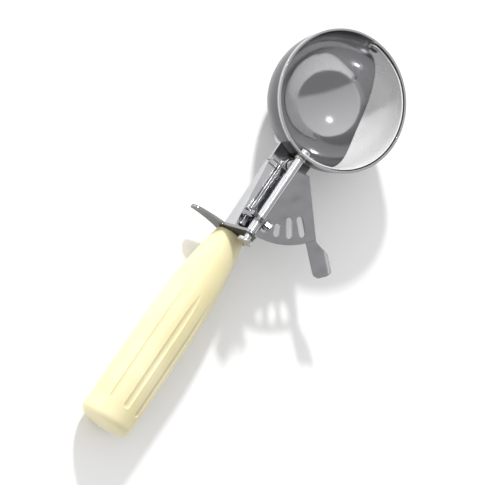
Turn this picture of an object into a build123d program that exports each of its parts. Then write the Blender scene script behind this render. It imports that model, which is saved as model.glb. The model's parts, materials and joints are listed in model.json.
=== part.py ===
from build123d import *
import math
import os

# Thumb-lever portion scoop (ice-cream disher), 3 fl oz size. Millimetres.
#
# It is drawn in its own design frame: origin at the centre of the bowl's rim, +X along the blade
# shaft from the handle towards the bowl, +Z out of the bowl's mouth, the finger guard on the +Y
# side and the thumb lever on the -Y side. The last step leans the whole scoop until the bowl and
# the end of the handle both touch the table at z = 0.

# ---------------------------------------------------------------- driving dimensions
# bowl: a hemisphere with a short straight wall above it
bowl_inner_radius = 33.2
bowl_wall = 0.8
bowl_straight_wall = 4.8
lip_stand_out = 0.3
lip_height = 1.7
lip_rounding = 0.25

# blade shaft, from the bowl's near wall back to the guard plate
shaft_diameter = 4.3
shaft_front_journal = 3.0
shaft_rear_journal = 3.4
front_bush_flange_diameter = 5.4
front_bush_flange = 1.4
front_bush_wall = 0.7
shaft_spacer_diameter = 4.9
end_collar_diameter = 7.6
end_collar_thickness = 1.6
end_collar_setback = 2.9

# sweep blade
blade_thickness = 0.6
blade_gap = 0.3
blade_below_rim = 0.6
blade_end_width = 6.4
blade_end_length = 6.0
blade_depth = 21.2
blade_deepest_x = 2.0
blade_near_shoulder = (-22.4, -10.6)
blade_far_shoulder = (25.7, -13.6)
blade_boss_diameter = 5.8
blade_boss_length = 2.2
far_pin_diameter = 2.6
far_pin_head_diameter = 5.2
far_pin_head = 0.8
far_pin_head_rounding = 0.55

# pinion and slotted sector
pinion_teeth = 6
pinion_thickness = 2.0
pinion_root_radius = 3.9
pinion_tip_radius = 7.1
pinion_tooth_root_width = 2.5
pinion_tooth_tip_width = 1.6
lever_pivot_from_bowl = 4.5
pinion_from_pivot = 32.0
lever_thickness = 1.5
lever_outer_radius = 37.3
slot_pitch = 12.1
slot_width = 3.6
slot_outer_radius = 34.4
short_slot_length = 6.7
long_slot_length = 10.2
short_slot_count = 3
long_slot_count = 2
lever_hub_radius = 3.1
lever_left_edge = 4.3
lever_front_corner = 2.6
lever_right_edge_angle = 43.4
lever_edge_offset = 9.7

# thumb pad at the end of the lever
pad_angle = 50.5
pad_neck_width = 5.1
pad_width = 8.8
pad_length = 17.9
pad_neck_length = 0.6
pad_flare_length = 8.0
pad_thickness = 1.0
pad_curl_start = 3.8
pad_curl_radius = 5.6
pad_corner_radius = 3.2

# lever pivot: shouldered rivet, sleeve, thrust washer, spring
pivot_rivet_diameter = 4.0
pivot_head_diameter = 6.0
pivot_head = 0.7
pivot_tail_diameter = 6.6
pivot_tail = 0.8
sleeve_wall = 0.75
thrust_washer_diameter = 9.0
thrust_washer = 0.6
spring_wire = 0.75
spring_mean_diameter = 6.9
spring_turns = 1.75
spring_lever_leg = 29.0
spring_hook_bend = 2.4
spring_bend_radius = 0.9
spring_hook_play = 0.45
spring_points_per_turn = 24

# frame: a channel pressed from sheet, with a cradle that follows the bowl
frame_sheet = 1.4
frame_half_width_bowl = 9.8
frame_half_width_handle = 5.6
frame_taper_from_bowl = 7.0
frame_web_inset = 6.8
flange_depth_bowl = 3.8
flange_depth_handle = 13.0
cradle_angle = 56.0
cradle_corner = 6.0
cradle_rivet_upper = 25.0
cradle_rivet_lower = 45.0
cradle_rivet_diameter = 2.6
cradle_rivet_head = 4.4

# guard plate with its finger rest and the rear bearing
guard_behind_pinion = 7.1
guard_thickness = 1.3
guard_lug_radius = 3.6
guard_half_width = 8.4
guard_tab_reach = 24.5
guard_tab_height = 11.0
guard_tab_tip = 6.4
guard_tab_sweep = 1.5

# handle and its tang
handle_axis_drop = 20.0
handle_top_radius = 7.0
handle_radius = 12.8
handle_length = 108.5
handle_swell = 56.0
handle_swell_slope = 0.22
handle_end_rounding = 4.0
handle_end_dome = 1.2
flute_count = 10
flute_depth = 0.8
flute_cutter_radius = 2.3
flute_from_end = 9.5
flute_length = 72.0
tang_width = 7.0
tang_thickness = 3.0
tang_length = 58.0
tang_lap = 24.0
tang_rivet_diameter = 3.0
tang_rivet_head = 5.0
tang_rivet_spacing = 11.0
tang_rivet_inset = 6.5

# clearances
running_gap = 0.05
shaft_clearance = 0.05
press_fit = 0.0
pivot_over_shaft_gap = 0.3
bore_margin = 1.0

# ---------------------------------------------------------------- derived places
bowl_outer_radius = bowl_inner_radius + bowl_wall
lip_radius = bowl_outer_radius + lip_stand_out
axis_z = -bowl_straight_wall
blade_outer_radius = bowl_inner_radius - blade_gap
blade_inner_radius = blade_outer_radius - blade_thickness

lever_x = -bowl_outer_radius - lever_pivot_from_bowl
pinion_x = lever_x - pinion_from_pivot
pinion_step = 360 / pinion_teeth
pinion_pitch_radius = pinion_from_pivot * slot_pitch / pinion_step
lever_z = axis_z - pinion_pitch_radius
lever_top = lever_z + lever_thickness / 2
lever_bottom = lever_z - lever_thickness / 2
frame_top = lever_bottom - running_gap - thrust_washer
frame_bottom = frame_top - frame_sheet

pivot_head_top = axis_z - shaft_diameter / 2 - pivot_over_shaft_gap
pivot_head_bottom = pivot_head_top - pivot_head
sleeve_bottom = lever_top + running_gap

shaft_front_shoulder = -bowl_outer_radius - front_bush_flange - running_gap
pinion_front = pinion_x + pinion_thickness / 2
pinion_back = pinion_x - pinion_thickness / 2
guard_front = pinion_x - guard_behind_pinion
frame_taper_x = -bowl_outer_radius - frame_taper_from_bowl
guard_back = guard_front - guard_thickness
handle_top_x = guard_back
handle_end_x = handle_top_x - handle_length
handle_z = axis_z - handle_axis_drop

# the lever's press, in degrees, turns the blade until its leading edge reaches the far rim
gear_ratio = pinion_step / slot_pitch
blade_rise = bowl_straight_wall - blade_below_rim
blade_trailing_angle = math.degrees(math.asin(blade_rise / blade_outer_radius))
blade_leading_angle = math.degrees(math.asin(blade_depth / blade_outer_radius))
blade_sweep = 180 + blade_trailing_angle - blade_leading_angle
lever_travel = blade_sweep / gear_ratio


def rod(diameter, x_from, x_to, y=0.0, z=axis_z):
    """A round bar along X between two stations."""
    length = abs(x_to - x_from)
    return Pos((x_from + x_to) / 2, y, z) * Rot(0, 90, 0) * Cylinder(diameter / 2, length)


def post(diameter, x, y, z_from, z_to):
    """A round bar along Z between two heights."""
    return Pos(x, y, (z_from + z_to) / 2) * Cylinder(diameter / 2, abs(z_to - z_from))


def ball(radius):
    """A ball centred where the blade's axis meets the bowl's axis."""
    return Pos(0, 0, axis_z) * Rot(0, 0, 90) * Sphere(radius)


def block(x0, x1, y0, y1, z0, z1):
    """A box from its two corners."""
    centre = Pos((x0 + x1) / 2, (y0 + y1) / 2, (z0 + z1) / 2)
    return centre * Box(abs(x1 - x0), abs(y1 - y0), abs(z1 - z0))


def sheet_outline(points, z_from, z_to):
    """A flat outline in X and Y, as a plate between two heights."""
    face = make_face(Polyline(*points, close=True))
    return Pos(0, 0, min(z_from, z_to)) * extrude(face, abs(z_to - z_from), dir=(0, 0, 1))


def side_profile(points, half_width):
    """An outline in X and Z, as a plate through Y."""
    face = make_face(Plane.XZ * Polyline(*points, close=True))
    return extrude(face, half_width, both=True)


def crosswise_profile(points, x_from, x_to):
    """An outline in Y and Z, as a plate between two stations along X."""
    face = make_face(Plane.YZ * Polyline(*points, close=True))
    return Pos(min(x_from, x_to), 0, 0) * extrude(face, abs(x_to - x_from), dir=(1, 0, 0))


# ---------------------------------------------------------------- bowl
def cradle_rivet_directions():
    """Where the cradle's three rivets point, from the bowl's centre: one row of two and one."""
    spread = math.degrees(math.asin((frame_half_width_bowl - cradle_rivet_head) / bowl_outer_radius))
    return [(cradle_rivet_upper, spread), (cradle_rivet_upper, -spread), (cradle_rivet_lower, 0.0)]


def towards(drop, side):
    """Turns a bar along Z to point from the bowl's centre to the cradle."""
    return Pos(0, 0, axis_z) * Rot(0, 0, side) * Rot(0, -90 - drop, 0)


def bowl():
    with BuildPart() as body:
        with BuildSketch(Plane.YZ):
            with BuildLine():
                bottom = axis_z - bowl_outer_radius
                Line((0, bottom), (0, bottom + bowl_wall))
                RadiusArc((0, bottom + bowl_wall), (bowl_inner_radius, axis_z), -bowl_inner_radius)
                Line((bowl_inner_radius, axis_z), (bowl_inner_radius, 0))
                Line((bowl_inner_radius, 0), (lip_radius, 0))
                Line((lip_radius, 0), (lip_radius, -lip_height))
                Line((lip_radius, -lip_height), (bowl_outer_radius, -lip_height))
                Line((bowl_outer_radius, -lip_height), (bowl_outer_radius, axis_z))
                RadiusArc((bowl_outer_radius, axis_z), (0, bottom), bowl_outer_radius)
            make_face()
        revolve(axis=Axis.Z)
        outer_edges = body.edges().filter_by(GeomType.CIRCLE)
        outer_edges = [e for e in outer_edges if abs(e.radius - lip_radius) < bowl_wall / 10]
        fillet(outer_edges, lip_rounding)
    shell = body.part
    bush_hole = shaft_front_journal + 2 * shaft_clearance + 2 * front_bush_wall
    shell -= rod(bush_hole, -lip_radius - bore_margin, -bowl_inner_radius / 2)
    shell -= rod(far_pin_diameter, bowl_inner_radius / 2, lip_radius + bore_margin)
    for drop, side in cradle_rivet_directions():
        hole = Cylinder(cradle_rivet_diameter / 2, bowl_outer_radius * 2,
                        align=(Align.CENTER, Align.CENTER, Align.MIN))
        shell -= towards(drop, side) * hole
    return shell


def cradle_rivets():
    """Three flush rivets: ground level inside the bowl, a low head outside the cradle."""
    rivets = []
    outside = bowl_outer_radius + frame_sheet
    for drop, side in cradle_rivet_directions():
        shank = Cylinder(cradle_rivet_diameter / 2, outside + cradle_rivet_diameter,
                         align=(Align.CENTER, Align.CENTER, Align.MIN))
        head = Pos(0, 0, outside) * Cylinder(cradle_rivet_head / 2, frame_sheet / 2,
                                             align=(Align.CENTER, Align.CENTER, Align.MIN))
        rivet = towards(drop, side) * (shank + head)
        rivet -= ball(bowl_inner_radius)
        rivet &= ball(outside + frame_sheet / 2)
        rivets.append(rivet.solids()[0])
    return Compound(children=rivets)


# ---------------------------------------------------------------- blade and its shaft
def front_bush():
    bore = shaft_front_journal + 2 * shaft_clearance
    sleeve = rod(bore + 2 * front_bush_wall, -bowl_outer_radius, -bowl_inner_radius)
    flange = rod(front_bush_flange_diameter, -bowl_outer_radius - front_bush_flange, -bowl_outer_radius)
    rounded = fillet(flange.edges().group_by(Axis.X)[0], front_bush_flange / 4)
    bush = sleeve + rounded
    bush &= ball(bowl_inner_radius * 2) - ball(bowl_inner_radius)
    return bush - rod(bore, -lip_radius - front_bush_flange, -bowl_inner_radius / 2)


def sweep_blade():
    """Broad crescent of sheet that lies against the bowl's wall, narrow only at its two pivots."""
    shell = ball(blade_outer_radius) - ball(blade_inner_radius)
    reach = blade_outer_radius
    end_half = blade_end_width / 2
    inboard = reach - blade_end_length
    with BuildPart() as cutter:
        with BuildSketch(Plane.XZ):
            with BuildLine():
                top = Polyline((-reach, -end_half), (-reach, end_half), (-inboard, blade_rise),
                               (inboard, blade_rise), (reach, end_half), (reach, -end_half))
                Spline(top @ 1, blade_far_shoulder, (blade_deepest_x, -blade_depth),
                       blade_near_shoulder, top @ 0)
            make_face()
        extrude(amount=reach)
    blade = shell & (Pos(0, 0, axis_z) * cutter.part)
    blade += shell & rod(blade_end_width, -reach, -blade_inner_radius / 2)
    blade += shell & rod(blade_end_width, blade_inner_radius / 2, reach)
    blade -= rod(shaft_front_journal, -reach, -blade_inner_radius / 2)
    blade -= rod(far_pin_diameter + 2 * shaft_clearance, blade_inner_radius / 2, reach)
    return blade


def blade_boss():
    inner_end = -blade_inner_radius + blade_boss_length
    boss = rod(blade_boss_diameter, -blade_outer_radius, inner_end)
    boss = fillet(boss.edges().group_by(Axis.X)[-1], blade_boss_length / 4)
    boss &= ball(blade_inner_radius)
    return boss - rod(shaft_front_journal, -blade_outer_radius, inner_end + bore_margin)


def blade_shaft():
    journal_end = -blade_inner_radius + blade_boss_length + shaft_front_journal / 8
    front = rod(shaft_front_journal, shaft_front_shoulder, journal_end)
    front = chamfer(front.edges().group_by(Axis.X)[-1], shaft_front_journal / 8)
    body = rod(shaft_diameter, shaft_front_shoulder, pinion_front)
    tail_end = guard_back - end_collar_setback - end_collar_thickness
    rear = rod(shaft_rear_journal, pinion_front, tail_end)
    return front + body + rear


def shaft_pinion():
    """Stamped star wheel: straight-sided teeth that drop through the lever's slots."""
    root = pinion_root_radius
    tip = pinion_tip_radius
    half_root = pinion_tooth_root_width / 2
    half_tip = pinion_tooth_tip_width / 2
    inside = root / 2
    tooth = [(-half_root, -inside), (half_root, -inside), (half_root, -root), (half_tip, -tip),
             (-half_tip, -tip), (-half_root, -root)]
    centre = Pos(0, 0, axis_z)
    wheel = rod(2 * root, pinion_back, pinion_front)
    for index in range(pinion_teeth):
        spoke = crosswise_profile(tooth, pinion_back, pinion_front)
        wheel += centre * Rot(index * pinion_step, 0, 0) * spoke
    return wheel - rod(shaft_rear_journal, pinion_back - bore_margin, pinion_front + bore_margin)


def shaft_spacer():
    """Tube that holds the pinion off the guard plate's bearing."""
    back = guard_front + running_gap
    tube = rod(shaft_spacer_diameter, back, pinion_back)
    return tube - rod(shaft_rear_journal, back - bore_margin, pinion_back + bore_margin)


def shaft_end_collar():
    front = guard_back - end_collar_setback
    collar = rod(end_collar_diameter, front - end_collar_thickness, front)
    collar = fillet(collar.edges().filter_by(GeomType.CIRCLE), end_collar_thickness / 4)
    return collar - rod(shaft_rear_journal, front - end_collar_thickness - bore_margin, front + bore_margin)


def far_pivot_pin():
    """Rivet in the bowl's far wall that the blade's other end turns on."""
    inner_face = blade_inner_radius - 2 * running_gap - far_pin_head / 2
    shank = rod(far_pin_diameter, inner_face, bowl_outer_radius)
    outer = rod(far_pin_head_diameter, bowl_outer_radius, bowl_outer_radius + far_pin_head)
    outer = fillet(outer.edges().group_by(Axis.X)[-1], far_pin_head_rounding)
    inner = rod(far_pin_diameter + 2 * far_pin_head, inner_face - far_pin_head / 2, inner_face)
    return shank + outer + inner


# ---------------------------------------------------------------- thumb lever
def lever_point(radius, angle):
    """A point on the lever, by radius from its pivot and angle from -X towards -Y."""
    a = math.radians(angle)
    return (lever_x - radius * math.cos(a), -radius * math.sin(a))


def lever_edge_point(along):
    """A point on the lever's straight right edge, measured from its foot near the pivot."""
    a = math.radians(lever_right_edge_angle)
    foot = (lever_x + lever_edge_offset * math.sin(a), -lever_edge_offset * math.cos(a))
    return (foot[0] - along * math.cos(a), foot[1] - along * math.sin(a))


def lever_edge_end():
    """How far along the right edge the outer arc crosses it."""
    return math.sqrt(lever_outer_radius**2 - lever_edge_offset**2)


def thumb_pad():
    """A leaf that leaves the lever's corner level and curls upwards along its outer side."""
    curl = pad_curl_radius
    thinner = curl - pad_thickness
    sweep = math.degrees(math.asin((pad_width - pad_curl_start) / curl))
    centre = (pad_curl_start, curl)
    start = -lever_thickness
    with BuildPart() as leaf:
        with BuildSketch(Plane.YZ.offset(start)):
            with BuildLine():
                flat = Line((0, 0), (pad_curl_start, 0))
                under = CenterArc(centre, curl, -90, sweep)
                over = CenterArc(centre, thinner, sweep - 90, -sweep)
                Line(under @ 1, over @ 0)
                inner = Line(over @ 1, (0, pad_thickness))
                Line(inner @ 1, flat @ 0)
            make_face()
        extrude(amount=pad_length - start)
    flared = pad_neck_length + pad_flare_length
    outline = [(start, 0), (start, pad_neck_width), (pad_neck_length, pad_neck_width),
               (flared, pad_width), (pad_length, pad_width), (pad_length, 0)]
    plan = make_face(Polyline(*outline, close=True))
    rounded = [v for v in plan.vertices() if v.X > pad_neck_length / 2]
    plan = fillet(rounded, pad_corner_radius)
    trimmed = leaf.part & extrude(plan, 2 * curl, both=True)
    rest = Pos(lever_x, 0, lever_bottom) * Rot(0, 0, 180 + pad_angle)
    return rest * Pos(lever_outer_radius, 0, (lever_thickness - pad_thickness) / 2) * trimmed


def lever_slots():
    slots = []
    for index in range(short_slot_count + long_slot_count):
        length = short_slot_length if index < short_slot_count else long_slot_length
        middle = slot_outer_radius - length / 2
        slot = Pos(-middle, 0, lever_z) * extrude(SlotOverall(length, slot_width), lever_thickness, both=True)
        slots.append(Pos(lever_x, 0, 0) * Rot(0, 0, index * slot_pitch) * slot)
    return slots


def thumb_lever():
    edge_angle = math.radians(lever_right_edge_angle)
    foot_forward = lever_edge_offset * math.sin(edge_angle)
    shoulder = lever_edge_point((foot_forward - lever_front_corner) / math.cos(edge_angle))
    outer = lever_edge_point(lever_edge_end())
    left = (lever_x - math.sqrt(lever_outer_radius**2 - lever_left_edge**2), lever_left_edge)
    middle = lever_point(lever_outer_radius, lever_right_edge_angle / 2)
    with BuildPart() as plate:
        with BuildSketch(Plane.XY.offset(lever_bottom)):
            with BuildLine():
                Line(shoulder, outer)
                ThreePointArc(outer, middle, left)
                Line(left, (lever_x, lever_left_edge))
                Line((lever_x, lever_left_edge), (lever_x, -lever_hub_radius))
                Line((lever_x, -lever_hub_radius), shoulder)
            make_face()
        extrude(amount=lever_thickness)
    lever = plate.part
    corners = [e for e in lever.edges().filter_by(Axis.Z)
               if math.dist((e.center().X, e.center().Y), shoulder) < lever_hub_radius / 10]
    lever = fillet(corners, lever_hub_radius / 2)
    lever += post(2 * lever_hub_radius, lever_x, 0, lever_bottom, lever_top)
    keep_off_bowl = lever_x + lever_hub_radius
    lever -= block(keep_off_bowl, 0, 0, lever_left_edge * 2,
                   lever_bottom - bore_margin, lever_top + bore_margin)
    lever += thumb_pad()
    lever -= pivot_hole(pivot_rivet_diameter + 2 * shaft_clearance, lever_bottom, lever_top)
    for slot in lever_slots():
        lever -= slot
    return lever


# ---------------------------------------------------------------- lever pivot and spring
def lever_pivot_rivet():
    rivet = post(pivot_rivet_diameter, lever_x, 0, frame_bottom, pivot_head_bottom)
    head = post(pivot_head_diameter, lever_x, 0, pivot_head_bottom, pivot_head_top)
    head = fillet(head.edges().group_by(Axis.Z)[-1], pivot_head / 2)
    tail = post(pivot_tail_diameter, lever_x, 0, frame_bottom - pivot_tail, frame_bottom)
    tail = fillet(tail.edges().group_by(Axis.Z)[0], pivot_tail / 2)
    return rivet + head + tail


def pivot_hole(diameter, z_from, z_to):
    """A cutter for a hole at the lever's pivot, longer than the hole at both ends."""
    return post(diameter, lever_x, 0, z_from - bore_margin, z_to + bore_margin)


def ring(outer_diameter, inner_diameter, z_from, z_to):
    """A flat ring round the lever's pivot."""
    return post(outer_diameter, lever_x, 0, z_from, z_to) - pivot_hole(inner_diameter, z_from, z_to)


def spring_sleeve():
    outer = pivot_rivet_diameter + 2 * sleeve_wall
    return ring(outer, pivot_rivet_diameter, sleeve_bottom, pivot_head_bottom)


def lever_washer():
    return ring(thrust_washer_diameter, pivot_rivet_diameter, frame_top, frame_top + thrust_washer)


def coil_points(radius, low, high):
    """Points round the coil, seen from above clockwise, flat at both ends and rising between."""
    points = []
    steps = round(spring_turns * spring_points_per_turn)
    for index in range(steps + 1):
        share = index / steps
        angle = math.radians(90 - 360 * spring_turns * share)
        rise = (high - low) * share**2 * (3 - 2 * share)
        points.append((lever_x + radius * math.cos(angle), radius * math.sin(angle), low + rise))
    return points


def return_spring():
    """Torsion spring: one long leg hooks the lever's left edge, a short one hooks the frame."""
    radius = spring_mean_diameter / 2
    low = lever_top + running_gap + spring_wire / 2
    high = pivot_head_bottom - running_gap - spring_wire / 2
    hook_y = lever_left_edge + spring_wire / 2 + spring_hook_play
    hook_x = lever_x - spring_lever_leg
    frame_y = frame_half_width_bowl + spring_wire / 2 + running_gap
    with BuildPart() as spring:
        with BuildLine():
            lever_leg = FilletPolyline((hook_x, hook_y, lever_bottom), (hook_x, hook_y, low),
                                       (hook_x + spring_hook_bend, radius, low), (lever_x, radius, low),
                                       radius=spring_bend_radius)
            Spline(*coil_points(radius, low, high))
            FilletPolyline((lever_x - radius, 0, high), (lever_x - radius, frame_y, high),
                           (lever_x - radius, frame_y, frame_bottom), radius=spring_bend_radius)
        with BuildSketch(Plane(origin=lever_leg @ 0, z_dir=lever_leg % 0)):
            Circle(spring_wire / 2)
        sweep()
    return spring.part


# ---------------------------------------------------------------- frame
def frame_outline(inset, front, back):
    """The channel's plan: parallel at the bowl, then a straight taper to the guard plate."""
    wide = frame_half_width_bowl - inset
    narrow = frame_half_width_handle - inset
    taper = frame_taper_x
    return [(front, -wide), (front, wide), (taper, wide), (back, narrow), (back, -narrow), (taper, -wide)]


def frame():
    front = -bowl_outer_radius + frame_web_inset
    back = guard_front
    deepest = frame_top - flange_depth_handle
    channel = sheet_outline(frame_outline(0, front, back), deepest, frame_top)
    overrun = frame_sheet * 2
    inside = frame_outline(frame_sheet, front + overrun, back)
    channel -= sheet_outline(inside, deepest - bore_margin, frame_bottom)
    taper = frame_taper_x
    flange_side = [(front, frame_top), (front, frame_bottom), (taper + frame_sheet * 2, frame_bottom),
                   (taper - frame_sheet, frame_top - flange_depth_bowl), (back, deepest), (back, frame_top)]
    channel &= side_profile(flange_side, frame_half_width_bowl + bore_margin)
    shell = ball(bowl_outer_radius + frame_sheet)
    low = axis_z - (bowl_outer_radius + frame_sheet) * math.sin(math.radians(cradle_angle))
    wide = frame_half_width_bowl
    strap_outline = [(-wide, frame_top), (-wide, low + cradle_corner), (-wide + cradle_corner, low),
                     (wide - cradle_corner, low), (wide, low + cradle_corner), (wide, frame_top)]
    strap = shell & crosswise_profile(strap_outline, -2 * bowl_outer_radius, 0)
    body = channel + strap
    body -= ball(bowl_outer_radius)
    body -= pivot_hole(pivot_rivet_diameter, frame_bottom, frame_top)
    for x in tang_rivet_places():
        body -= post(tang_rivet_diameter, x, 0, frame_bottom - bore_margin, frame_top + bore_margin)
    for drop, side in cradle_rivet_directions():
        hole = Cylinder(cradle_rivet_diameter / 2, bowl_outer_radius * 2,
                        align=(Align.CENTER, Align.CENTER, Align.MIN))
        body -= towards(drop, side) * hole
    return body


# ---------------------------------------------------------------- guard plate
def guard_plate():
    """Plate across the top of the handle: bearing lug above, finger rest out to one side."""
    lug = guard_lug_radius
    wide = guard_half_width
    bottom = handle_z - handle_top_radius
    tab_top = handle_z + guard_tab_height / 2
    tab_low = handle_z - guard_tab_height / 2
    body = [(-lug, axis_z), (lug, axis_z), (wide, tab_top), (wide, tab_low), (wide / 2, bottom),
            (-wide / 2, bottom), (-wide, tab_low), (-wide, tab_top)]
    plate = crosswise_profile(body, guard_back, guard_front)
    plate += rod(2 * lug, guard_back, guard_front)
    plate += finger_rest()
    bore = shaft_rear_journal + 2 * shaft_clearance
    plate -= rod(bore, guard_back - bore_margin, guard_front + bore_margin)
    plate -= tang_bar(press_fit)
    return plate


def finger_rest():
    """Tapered tab that sweeps back towards the handle, with its edges turned back."""
    reach = guard_tab_reach
    root = guard_half_width
    span = reach - root + guard_thickness
    radius = (span**2 + guard_tab_sweep**2) / (2 * guard_tab_sweep)
    start = root - guard_thickness
    turn = math.degrees(math.asin(span / radius))
    with BuildPart() as tab:
        with BuildSketch(Plane.XY.offset(handle_z - guard_tab_height)):
            with BuildLine():
                outer = CenterArc((guard_front - radius, start), radius, 0, turn)
                inner = CenterArc((guard_front - radius, start), radius - guard_thickness, 0, turn)
                Line(outer @ 0, inner @ 0)
                Line(outer @ 1, inner @ 1)
            make_face()
        extrude(amount=2 * guard_tab_height)
    half = guard_tab_height / 2
    tip = guard_tab_tip / 2
    outline = [(0, handle_z - half), (root, handle_z - half), (reach - tip, handle_z - tip),
               (reach - tip, handle_z + tip), (root, handle_z + half), (0, handle_z + half)]
    deepest = guard_back - 2 * guard_tab_sweep
    leaf = crosswise_profile(outline, deepest, guard_front + bore_margin)
    leaf += rod(2 * tip, deepest, guard_front + bore_margin, reach - tip, handle_z)
    return tab.part & leaf


# ---------------------------------------------------------------- handle and tang
def tang_rivet_places():
    """Two rivets that hold the tang under the channel's web."""
    first = guard_front + tang_rivet_inset
    return [first, first + tang_rivet_spacing]


def tang_bar(grown):
    """The tang: flat bar under the web, stepping down in line with the handle."""
    half = tang_width / 2 + grown
    top = frame_bottom
    thick = tang_thickness + 2 * grown
    lap_front = guard_front + tang_lap
    end = handle_top_x - tang_length
    step = handle_z + tang_thickness / 2 + grown
    knee = guard_front + tang_rivet_inset - tang_rivet_head / 2 - grown
    profile = [(lap_front, top), (lap_front, top - thick), (knee, top - thick), (guard_front, step - thick),
               (end, step - thick), (end, step), (guard_front, step), (knee + grown, top)]
    return side_profile(profile, half)


def handle_tang():
    tang = tang_bar(0)
    for x in tang_rivet_places():
        tang -= post(tang_rivet_diameter, x, 0, frame_bottom - 2 * tang_thickness, frame_bottom + bore_margin)
    return tang


def tang_rivets():
    rivets = []
    low = frame_bottom - tang_thickness
    head = frame_sheet / 2
    for x in tang_rivet_places():
        rivet = post(tang_rivet_diameter, x, 0, low, frame_top)
        rivet += post(tang_rivet_head, x, 0, low - head, low)
        rivets.append(rivet.solids()[0])
    return Compound(children=rivets)


def handle():
    """Moulded grip: slim at the guard, swelling to a fluted barrel with a soft, rounded end."""
    swell_end = handle_top_x - handle_swell
    barrel_end = handle_end_x + handle_end_rounding
    corner = handle_radius - handle_end_rounding
    dome_radius = (corner**2 + handle_end_dome**2) / (2 * handle_end_dome)
    with BuildPart() as grip:
        with BuildSketch(Plane.XZ):
            with BuildLine():
                top = Line((handle_top_x, 0), (handle_top_x, handle_top_radius))
                swell = Spline(top @ 1, (swell_end, handle_radius),
                               tangents=[(-1, handle_swell_slope), (-1, 0)])
                barrel = Line(swell @ 1, (barrel_end, handle_radius))
                edge = RadiusArc(barrel @ 1, (handle_end_x, corner), -handle_end_rounding)
                dome = RadiusArc(edge @ 1, (handle_end_x - handle_end_dome, 0), -dome_radius)
                Line(dome @ 1, top @ 0)
            make_face()
        revolve(axis=Axis.X)
    body = Rot(180 / flute_count, 0, 0) * grip.part
    body = fillet(body.edges().group_by(Axis.X)[-1], handle_top_radius / 8)
    from_end = handle_end_x + flute_from_end + flute_cutter_radius
    centre = handle_radius - flute_depth + flute_cutter_radius
    length = flute_length - 2 * flute_cutter_radius
    cutter = Pos(from_end + length / 2, 0, centre) * Rot(0, 90, 0) * Cylinder(flute_cutter_radius, length)
    cutter += Pos(from_end, 0, centre) * Sphere(flute_cutter_radius)
    for index in range(flute_count):
        body -= Rot(index * 360 / flute_count, 0, 0) * cutter
    body = Pos(0, 0, handle_z) * body
    return body - tang_bar(press_fit)


# ---------------------------------------------------------------- resting place
def lean_angle():
    """Degrees that the scoop leans so that bowl and handle end touch the table together."""
    low_corner = handle_z - handle_radius + handle_end_rounding
    along = -(handle_end_x + handle_end_rounding)
    above = axis_z - low_corner
    slope = math.atan2(above, along)
    gap = bowl_outer_radius - handle_end_rounding
    return 90 - math.degrees(slope + math.acos(gap / math.hypot(along, above)))


makers = [bowl, cradle_rivets, front_bush, sweep_blade, blade_boss, blade_shaft, shaft_pinion,
          shaft_spacer, shaft_end_collar, far_pivot_pin, thumb_lever, lever_pivot_rivet,
          spring_sleeve, lever_washer, return_spring, frame, guard_plate, handle_tang,
          tang_rivets, handle]
pieces = {maker.__name__: maker() for maker in makers}

lean = lean_angle()
leaned = {name: Rot(0, -lean, 0) * piece for name, piece in pieces.items()}
boxes = [piece.bounding_box() for piece in leaned.values()]
low_x = min(box.min.X for box in boxes)
high_x = max(box.max.X for box in boxes)
low_y = min(box.min.Y for box in boxes)
high_y = max(box.max.Y for box in boxes)
low_z = min(box.min.Z for box in boxes)
to_table = Pos(-(low_x + high_x) / 2, -(low_y + high_y) / 2, -low_z)

os.makedirs("parts", exist_ok=True)
for name, piece in leaned.items():
    export_step(to_table * piece, f"parts/{name}.step")
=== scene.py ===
import json
import math

import bmesh
import bpy
from mathutils import Matrix, Vector


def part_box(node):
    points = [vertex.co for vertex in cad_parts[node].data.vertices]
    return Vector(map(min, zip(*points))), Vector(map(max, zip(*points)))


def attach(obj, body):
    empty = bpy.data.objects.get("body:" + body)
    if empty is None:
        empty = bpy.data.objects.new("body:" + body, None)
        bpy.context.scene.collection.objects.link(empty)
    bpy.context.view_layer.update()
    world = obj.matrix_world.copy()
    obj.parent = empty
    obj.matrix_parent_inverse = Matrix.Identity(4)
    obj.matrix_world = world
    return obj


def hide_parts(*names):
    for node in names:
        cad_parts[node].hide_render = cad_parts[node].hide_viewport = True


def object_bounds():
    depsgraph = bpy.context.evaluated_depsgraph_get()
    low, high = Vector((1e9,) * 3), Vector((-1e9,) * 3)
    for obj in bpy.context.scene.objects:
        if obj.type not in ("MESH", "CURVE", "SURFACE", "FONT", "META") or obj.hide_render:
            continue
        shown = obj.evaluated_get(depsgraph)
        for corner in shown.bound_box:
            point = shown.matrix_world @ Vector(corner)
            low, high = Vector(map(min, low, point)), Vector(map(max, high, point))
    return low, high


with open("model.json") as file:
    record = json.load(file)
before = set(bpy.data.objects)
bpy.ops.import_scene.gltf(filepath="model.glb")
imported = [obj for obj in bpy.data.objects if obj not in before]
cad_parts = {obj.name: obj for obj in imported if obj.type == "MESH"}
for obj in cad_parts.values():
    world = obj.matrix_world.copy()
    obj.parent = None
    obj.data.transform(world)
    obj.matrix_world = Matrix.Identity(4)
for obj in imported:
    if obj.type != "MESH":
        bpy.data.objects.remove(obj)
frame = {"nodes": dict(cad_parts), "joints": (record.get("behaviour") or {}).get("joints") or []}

# Thumb-lever portion scoop. Metres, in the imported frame: the handle runs towards -X, the bowl is
# at +X with its mouth up, the finger guard is at +Y and the thumb lever at -Y.

cad_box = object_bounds()
nodes = frame["nodes"]
MM = 0.001


# ---------------------------------------------------------------- places taken from the frame
def box_mm(name):
    """The lowest and highest corners of a node, in millimetres."""
    low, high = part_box(name)
    return low / MM, high / MM


joints = {joint["name"]: joint for joint in frame["joints"]}
lever_axis = Vector(joints["lever_pivot"]["axis"])
lever_pivot = Vector(joints["lever_pivot"]["pos_m"]) / MM
shaft_axis = Vector(joints["sweep_turn"]["axis"])
shaft_place = Vector(joints["sweep_turn"]["pos_m"]) / MM

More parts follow.
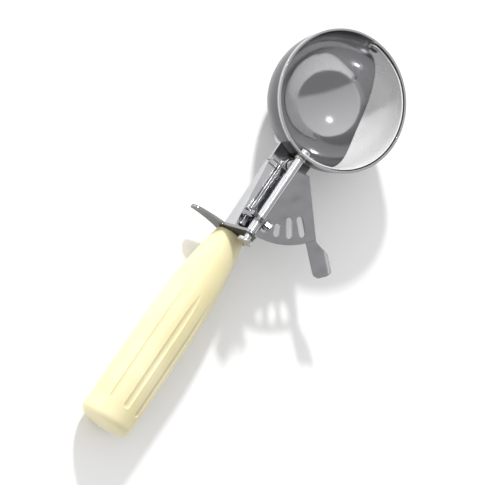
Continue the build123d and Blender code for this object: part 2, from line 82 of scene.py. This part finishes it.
# the scoop leans a little, so that the bowl and the end of the handle both touch the table
along = shaft_axis.normalized()
across = Vector((0, 1, 0))
upward = along.cross(across).normalized()
bowl_low, bowl_high = box_mm("bowl")
rim_centre = Vector(((bowl_low.x + bowl_high.x) / 2, (bowl_low.y + bowl_high.y) / 2, 0))
shaft_below_rim = 4.8
on_shaft = shaft_place + along * ((rim_centre - shaft_place).dot(along))
rim_centre = on_shaft + upward * shaft_below_rim
to_place = Matrix((along, across, upward)).transposed().to_4x4()
to_place.translation = rim_centre
to_place = Matrix.Scale(MM, 4) @ to_place


# ---------------------------------------------------------------- materials
def linear(hex_colour):
    """An sRGB hex colour as the linear RGBA that a shader takes."""
    parts = [int(hex_colour[i:i + 2], 16) / 255 for i in (1, 3, 5)]
    return [*((c / 12.92 if c <= 0.04045 else ((c + 0.055) / 1.055) ** 2.4) for c in parts), 1.0]


def add(tree, kind, settings=None, **links):
    """Adds a node, sets its properties and inputs, and links inputs to other nodes' outputs."""
    node = tree.nodes.new(kind)
    for name, value in (settings or {}).items():
        if name in node.inputs:
            node.inputs[name].default_value = value
        else:
            setattr(node, name, value)
    for name, source in links.items():
        tree.links.new(source, node.inputs[name.replace("_", " ")])
    return node


def new_material(name):
    material = bpy.data.materials.new(name)
    material.use_nodes = True
    material.node_tree.nodes.clear()
    return material, material.node_tree


def finish_material(tree, shader):
    output = add(tree, "ShaderNodeOutputMaterial")
    tree.links.new(shader.outputs[0], output.inputs["Surface"])


# What every steel shares, in millimetres. The edges are softened in the shading only.
sheen_patch = 14
hollow_size = 11
softened_edge = 0.35


def steel(name, colour, roughness, line_width, line_depth, stretch=(1, 1, 1), uneven=0.25,
          hollows=0.0, scatter=0.0):
    """Stainless steel, with fine lines left by its last finishing step and a faintly uneven sheen.

    Widths and depths are in millimetres, and the lines are drawn wider than the real ones, which are
    too fine to show. stretch draws the lines out, uneven is the share by which the sheen varies,
    hollows is how deep the slow waves of a pressing are, and scatter is the share of the light that
    a frosted finish spreads like a matt surface.
    """
    material, tree = new_material(name)
    place = add(tree, "ShaderNodeTexCoord")
    turned = add(tree, "ShaderNodeMapping", {"Scale": stretch}, Vector=place.outputs["Object"])
    lines = add(tree, "ShaderNodeTexNoise", {"Scale": 1 / (line_width * MM), "Detail": 3.0},
                Vector=turned.outputs[0])
    cloud = add(tree, "ShaderNodeTexNoise", {"Scale": 1 / (sheen_patch * MM), "Detail": 2.0},
                Vector=place.outputs["Object"])
    sheen = add(tree, "ShaderNodeMapRange",
                {"To Min": roughness * (1 - uneven), "To Max": roughness * (1 + uneven)},
                Value=cloud.outputs[0])
    waves = add(tree, "ShaderNodeTexNoise", {"Scale": 1 / (hollow_size * MM), "Detail": 1.0},
                Vector=place.outputs["Object"])
    softened = add(tree, "ShaderNodeBevel", {"Radius": softened_edge * MM, "samples": 4})
    bowed = add(tree, "ShaderNodeBump", {"Strength": 1.0, "Distance": hollows * MM},
                Height=waves.outputs[0], Normal=softened.outputs[0])
    bump = add(tree, "ShaderNodeBump", {"Strength": 1.0, "Distance": line_depth * MM},
               Height=lines.outputs[0], Normal=bowed.outputs[0])
    shader = add(tree, "ShaderNodeBsdfPrincipled",
                 {"Base Color": linear(colour), "Metallic": 1.0 - scatter},
                 Roughness=sheen.outputs[0], Normal=bump.outputs[0])
    finish_material(tree, shader)
    return material


# Deep-drawn and buffed to a mirror: crisp reflections, with the buffing wheel's faint haze.
mirror_buffed_bowl = steel("mirror_buffed_stainless_bowl", "#B0B0B2", 0.10, 1.6, 0.0006,
                           hollows=0.10, scatter=0.08)
# Frosted spring sheet: paler and softer than the bowl, so it stands out against the mirror.
frosted_blade = steel("frosted_spring_sheet_blade", "#ECECEC", 0.28, 1.2, 0.0008,
                      stretch=(0.3, 1, 1), hollows=0.10, scatter=0.55)
# The bowl's outside is brushed and soft; its dark grey is painted reflection, darker than the mirror
# inside.
brushed_outside_painted_dark = steel("stainless_outside_painted_dark", "#5C5C5F", 0.30, 0.8, 0.0010,
                        stretch=(1, 1, 4), hollows=0.05)
# The guard's back: dark grey and even, a painted dark reflection.
guard_back_painted_dark = steel("stainless_guard_back_painted_dark", "#454547", 0.34, 0.8, 0.0010, hollows=0.05)
# Pressed sheet that was tumbled with media: soft, even glow with tiny cross scratches.
tumbled_pressing = steel("tumbled_stainless_pressing", "#97979A", 0.15, 0.7, 0.0016,
                         stretch=(0.5, 1, 1), uneven=0.3, hollows=1.1)
# The frame's channel is smoother than the lever, and brighter: its paler grey is a painted reflection.
channel_painted_bright = steel("stainless_channel_painted_bright", "#C2C2C4", 0.18, 0.7, 0.0016,
                        stretch=(0.5, 1, 1), uneven=0.3, hollows=0.6)
# Ground bar: fine rings round the shaft that draw the highlight out along it.
ground_bar = steel("centreless_ground_bar", "#BFBFC1", 0.24, 0.5, 0.0008,
                   stretch=(4, 1, 1), uneven=0.2)
# Cold-headed rivets: smooth upset heads, slightly dull.
headed_rivet = steel("cold_headed_rivet", "#ABABAD", 0.22, 0.6, 0.001, uneven=0.2)
# Drawn wire: die lines along it, a little darker than the sheet.
drawn_wire = steel("drawn_spring_wire", "#A2A2A4", 0.2, 0.3, 0.0006, uneven=0.2)


# In millimetres. The pebbles are drawn coarser than the real skin's, so that they show.
wear_patch = 3
pebble_size = 0.9
pebble_depth = 0.004
tone_patch = 30


def plated_brass():
    """Nickel-plated brass: a pale, faintly warm grey with soft cloudy wear."""
    material, tree = new_material("nickel_plated_bush")
    place = add(tree, "ShaderNodeTexCoord")
    cloud = add(tree, "ShaderNodeTexNoise", {"Scale": 1 / (wear_patch * MM), "Detail": 3.0},
                Vector=place.outputs["Object"])
    tone = add(tree, "ShaderNodeValToRGB", None, Fac=cloud.outputs[0])
    tone.color_ramp.elements[0].color = linear("#B3B0A9")
    tone.color_ramp.elements[1].color = linear("#CFCCC5")
    shader = add(tree, "ShaderNodeBsdfPrincipled", {"Metallic": 1.0, "Roughness": 0.28},
                 Base_Color=tone.outputs[0])
    finish_material(tree, shader)
    return material


def moulded_ivory():
    """Moulded ivory plastic: a soft gloss, a barely pebbled skin and a warm, slightly uneven tone."""
    material, tree = new_material("moulded_ivory_plastic")
    place = add(tree, "ShaderNodeTexCoord")
    pebble = add(tree, "ShaderNodeTexNoise", {"Scale": 1 / (pebble_size * MM), "Detail": 2.0},
                 Vector=place.outputs["Object"])
    cloud = add(tree, "ShaderNodeTexNoise", {"Scale": 1 / (tone_patch * MM), "Detail": 2.0},
                Vector=place.outputs["Object"])
    tone = add(tree, "ShaderNodeValToRGB", None, Fac=cloud.outputs[0])
    tone.color_ramp.elements[0].position = 0.3
    tone.color_ramp.elements[0].color = linear("#D3C99C")
    tone.color_ramp.elements[1].position = 0.7
    tone.color_ramp.elements[1].color = linear("#DED5B0")
    bump = add(tree, "ShaderNodeBump", {"Strength": 1.0, "Distance": pebble_depth * MM},
               Height=pebble.outputs[0])
    shader = add(tree, "ShaderNodeBsdfPrincipled",
                 {"Roughness": 0.34, "IOR": 1.5, "Subsurface Weight": 0.15,
                  "Subsurface Radius": (2.0 * MM, 1.6 * MM, 0.8 * MM), "Subsurface Scale": 1.0},
                 Base_Color=tone.outputs[0], Normal=bump.outputs[0])
    finish_material(tree, shader)
    return material


ivory = moulded_ivory()
plated = plated_brass()

node_materials = {
    "bowl": mirror_buffed_bowl, "cradle_rivets": headed_rivet, "front_bush": plated,
    "sweep_blade": frosted_blade, "blade_boss": ground_bar, "blade_shaft": ground_bar,
    "shaft_pinion": tumbled_pressing, "shaft_spacer": ground_bar, "shaft_end_collar": ground_bar,
    "far_pivot_pin": headed_rivet, "thumb_lever": tumbled_pressing,
    "lever_pivot_rivet": headed_rivet, "spring_sleeve": ground_bar, "lever_washer": plated,
    "return_spring": drawn_wire, "frame": channel_painted_bright, "guard_plate": tumbled_pressing,
    "handle_tang": tumbled_pressing, "tang_rivets": headed_rivet, "handle": ivory,
}
for name, material in node_materials.items():
    node = nodes[name]
    node.data.materials.clear()
    node.data.materials.append(material)

# ---------------------------------------------------------------- the return spring
# One wire, drawn as two pieces. The long leg and the start of the coil turn with the lever. The rest
# of the coil and the short leg stay with the frame.
wire_radius = 0.375
coil_radius = 3.45
coil_turns = 1.75
coil_low = -10.078
coil_high = -8.375
lever_leg_length = 29.0
lever_hook_side = 5.125
lever_hook_low = -12.0
lever_hook_bend = 2.4
frame_hook_side = 10.225
frame_hook_low = -14.05
wire_bend_radius = 0.9
wound_by_the_lever = 33.0
flat_start_degrees = 66.0
nested_share = 0.95
pivot_x = (to_place.inverted() @ (lever_pivot * MM)).x


def rounded_path(corners, radius, steps=6):
    """A polyline through the corners, each inner corner turned into an arc that touches both runs."""
    path = [Vector(corners[0])]
    for before, corner, after in zip(corners, corners[1:], corners[2:]):
        corner = Vector(corner)
        back = (Vector(before) - corner).normalized()
        ahead = (Vector(after) - corner).normalized()
        half = back.angle(ahead) / 2
        centre = corner + (back + ahead).normalized() * (radius / math.sin(half))
        first = corner + back * (radius / math.tan(half)) - centre
        last = corner + ahead * (radius / math.tan(half)) - centre
        path += [centre + first.slerp(last, step / steps) * radius for step in range(steps + 1)]
    return path + [Vector(corners[-1])]


def coil_path(first_degrees, last_degrees, step_degrees=7.5):
    """Part of the coil, clockwise from above: flat at both ends and rising between."""
    count = round((last_degrees - first_degrees) / step_degrees)
    path = []
    for index in range(count + 1):
        turned = first_degrees + (last_degrees - first_degrees) * index / count
        share = max(turned - flat_start_degrees, 0) / (360 * coil_turns - flat_start_degrees)
        height = coil_low + (coil_high - coil_low) * share ** 2 * (3 - 2 * share)
        angle = math.radians(90 - turned)
        reach, side = coil_radius * math.cos(angle), coil_radius * math.sin(angle)
        path.append(Vector((pivot_x + reach, side, height)))
    return path


def wire(name, path, body, nested_from=None):
    """A round wire along the path, closed at both ends, with an even twist from ring to ring.

    Past the point nested_from it is a hair thinner, so that it winds up inside the other piece.
    """
    sides = 14
    mesh = bmesh.new()
    rings = []
    side = None
    for index, point in enumerate(path):
        ahead = (path[min(index + 1, len(path) - 1)] - path[max(index - 1, 0)]).normalized()
        start = side if side is not None else ahead.orthogonal()
        side = (start - ahead * start.dot(ahead)).normalized()
        other = ahead.cross(side)
        nested = nested_from is not None and index > nested_from
        radius = wire_radius * (nested_share if nested else 1)
        rings.append([mesh.verts.new(to_place @ (point + radius * (
            side * math.cos(math.tau * k / sides) + other * math.sin(math.tau * k / sides))))
            for k in range(sides)])
    for ring, following in zip(rings, rings[1:]):
        for k in range(sides):
            face = mesh.faces.new((ring[k], ring[(k + 1) % sides],
                                   following[(k + 1) % sides], following[k]))
            face.smooth = True
    mesh.faces.new(rings[0][::-1])
    mesh.faces.new(rings[-1])
    bmesh.ops.recalc_face_normals(mesh, faces=mesh.faces)
    data = bpy.data.meshes.new(name)
    mesh.to_mesh(data)
    mesh.free()
    data.materials.append(drawn_wire)
    piece = bpy.data.objects.new(name, data)
    bpy.context.scene.collection.objects.link(piece)
    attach(piece, body)
    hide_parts("return_spring")


hook_x = pivot_x - lever_leg_length
lever_leg = rounded_path([(hook_x, lever_hook_side, lever_hook_low), (hook_x, lever_hook_side, coil_low),
                          (hook_x + lever_hook_bend, coil_radius, coil_low),
                          (pivot_x, coil_radius, coil_low)], wire_bend_radius)
wire("spring_lever_leg", lever_leg + coil_path(0, wound_by_the_lever)[1:], "lever",
     nested_from=len(lever_leg) - 1)
frame_leg = rounded_path([(pivot_x - coil_radius, 0, coil_high),
                          (pivot_x - coil_radius, frame_hook_side, coil_high),
                          (pivot_x - coil_radius, frame_hook_side, frame_hook_low)], wire_bend_radius)
wire("spring_coil", coil_path(wound_by_the_lever, 360 * coil_turns) + frame_leg[1:], "body")


# The bowl's outside takes slot two, its painted dark reflection: faces that look away from the rim's
# centre. The lip keeps the polish of the inside.
lip_height = 1.8
bowl = nodes["bowl"]
bowl.data.materials.append(brushed_outside_painted_dark)
for face in bowl.data.polygons:
    looks = bowl.matrix_world.to_3x3() @ face.normal
    outwards = bowl.matrix_world @ face.center - rim_centre * MM
    under_lip = -outwards.z > lip_height * MM
    face.material_index = 1 if under_lip and looks.dot(outwards) > 0 else 0

# The faces of the guard that look back towards the handle are painted dark, for a dark reflection.
back_facing = -0.4
guard = nodes["guard_plate"]
guard.data.materials.append(guard_back_painted_dark)
for face in guard.data.polygons:
    looks = guard.matrix_world.to_3x3() @ face.normal
    face.material_index = 1 if looks.x < back_facing else 0


# ---------------------------------------------------------------- studio
def studio_floor():
    sheet = bmesh.new()
    bmesh.ops.create_grid(sheet, x_segments=1, y_segments=1, size=6.0)
    mesh = bpy.data.meshes.new("studio_floor")
    sheet.to_mesh(mesh)
    sheet.free()
    floor = bpy.data.objects.new("studio_floor", mesh)
    bpy.context.scene.collection.objects.link(floor)
    material, tree = new_material("white_paper_sweep")
    shader = add(tree, "ShaderNodeBsdfPrincipled",
                 {"Base Color": linear("#F4F4F4"), "Roughness": 0.9, "Specular IOR Level": 0.1})
    finish_material(tree, shader)
    floor.data.materials.append(material)


def studio_walls():
    """A room with one pale side beyond the bowl, a dimmer side behind the handle, and light walls.

    How far a direction points to the pale side sets its light: a step from dim to pale, then a slow
    rise. Low directions also see the walls, which fade out upwards.
    """
    pale_side = (0.59, 0.80, -0.13)
    world = bpy.data.worlds.new("studio_walls")
    bpy.context.scene.world = world
    world.use_nodes = True
    tree = world.node_tree
    tree.nodes.clear()
    place = add(tree, "ShaderNodeTexCoord")
    parts = add(tree, "ShaderNodeSeparateXYZ", None, Vector=place.outputs["Generated"])
    towards = add(tree, "ShaderNodeVectorMath", {"operation": "DOT_PRODUCT"})
    tree.links.new(place.outputs["Generated"], towards.inputs[0])
    towards.inputs[1].default_value = pale_side
    side = add(tree, "ShaderNodeMapRange", {"From Min": -0.46, "From Max": -0.36,
               "To Min": 0.34, "To Max": 0.80}, Value=towards.outputs["Value"])
    rise = add(tree, "ShaderNodeMapRange", {"From Min": -0.3, "From Max": 1.0,
               "To Min": 0.0, "To Max": 0.45}, Value=towards.outputs["Value"])
    wall = add(tree, "ShaderNodeMapRange", {"From Min": 0.5, "From Max": 0.2,
               "To Min": 0.0, "To Max": 0.95}, Value=parts.outputs["Z"])
    both = add(tree, "ShaderNodeMath", {"operation": "ADD"})
    tree.links.new(side.outputs[0], both.inputs[0])
    tree.links.new(rise.outputs[0], both.inputs[1])
    total = add(tree, "ShaderNodeMath", {"operation": "ADD"})
    tree.links.new(both.outputs[0], total.inputs[0])
    tree.links.new(wall.outputs[0], total.inputs[1])
    light = add(tree, "ShaderNodeBackground", {"Color": (1, 1, 1, 1)}, Strength=total.outputs[0])
    output = add(tree, "ShaderNodeOutputWorld")
    tree.links.new(light.outputs[0], output.inputs["Surface"])


def aimed_light(name, azimuth, elevation, distance, energy, size, target):
    """A round lamp aimed at the target, in metres and watts. Azimuth runs from +X towards +Y."""
    a, e = math.radians(azimuth), math.radians(elevation)
    way = Vector((math.cos(a) * math.cos(e), math.sin(a) * math.cos(e), math.sin(e)))
    data = bpy.data.lights.new(name, "AREA")
    data.energy = energy
    data.shape = "DISK"
    data.size = size
    lamp = bpy.data.objects.new(name, data)
    lamp.rotation_mode = "QUATERNION"
    lamp.location = target + way * distance
    lamp.rotation_quaternion = way.to_track_quat("Z", "Y")
    bpy.context.scene.collection.objects.link(lamp)
    return lamp


def camera_over_the_handle():
    """The camera stands above the handle, on the guard's side, and looks down on the bowl."""
    from_rim = Vector((-324.2, 308.2, 794.3))
    right = Vector((0.5363, -0.7210, 0.4387))
    up = Vector((0.7996, 0.6005, 0.0095))
    data = bpy.data.cameras.new("camera")
    data.lens = 143.0
    data.sensor_width = 36.0
    data.clip_start = 0.05
    data.clip_end = 20.0
    camera = bpy.data.objects.new("camera", data)
    turn = Matrix((right, up, right.cross(up))).transposed()
    camera.rotation_mode = "QUATERNION"
    camera.rotation_quaternion = turn.to_quaternion()
    camera.location = (rim_centre + from_rim) * MM
    bpy.context.scene.collection.objects.link(camera)
    bpy.context.scene.camera = camera


studio_floor()
studio_walls()
middle_of_scoop = (cad_box[0] + cad_box[1]) / 2
# The key lights the scoop and throws the shadows, and no surface mirrors it. The small second lamp
# shows only in reflections, where it makes the bright dot in the bowl.
key = aimed_light("key", azimuth=41.5, elevation=33.5, distance=0.75, energy=5.2, size=0.06,
                  target=middle_of_scoop)
key.visible_glossy = False
dot = aimed_light("bowl_dot", azimuth=58.6, elevation=60.9, distance=0.9, energy=1.1, size=0.05,
                  target=rim_centre * MM)
dot.visible_diffuse = False
camera_over_the_handle()
bpy.context.scene.view_settings.view_transform = "Standard"
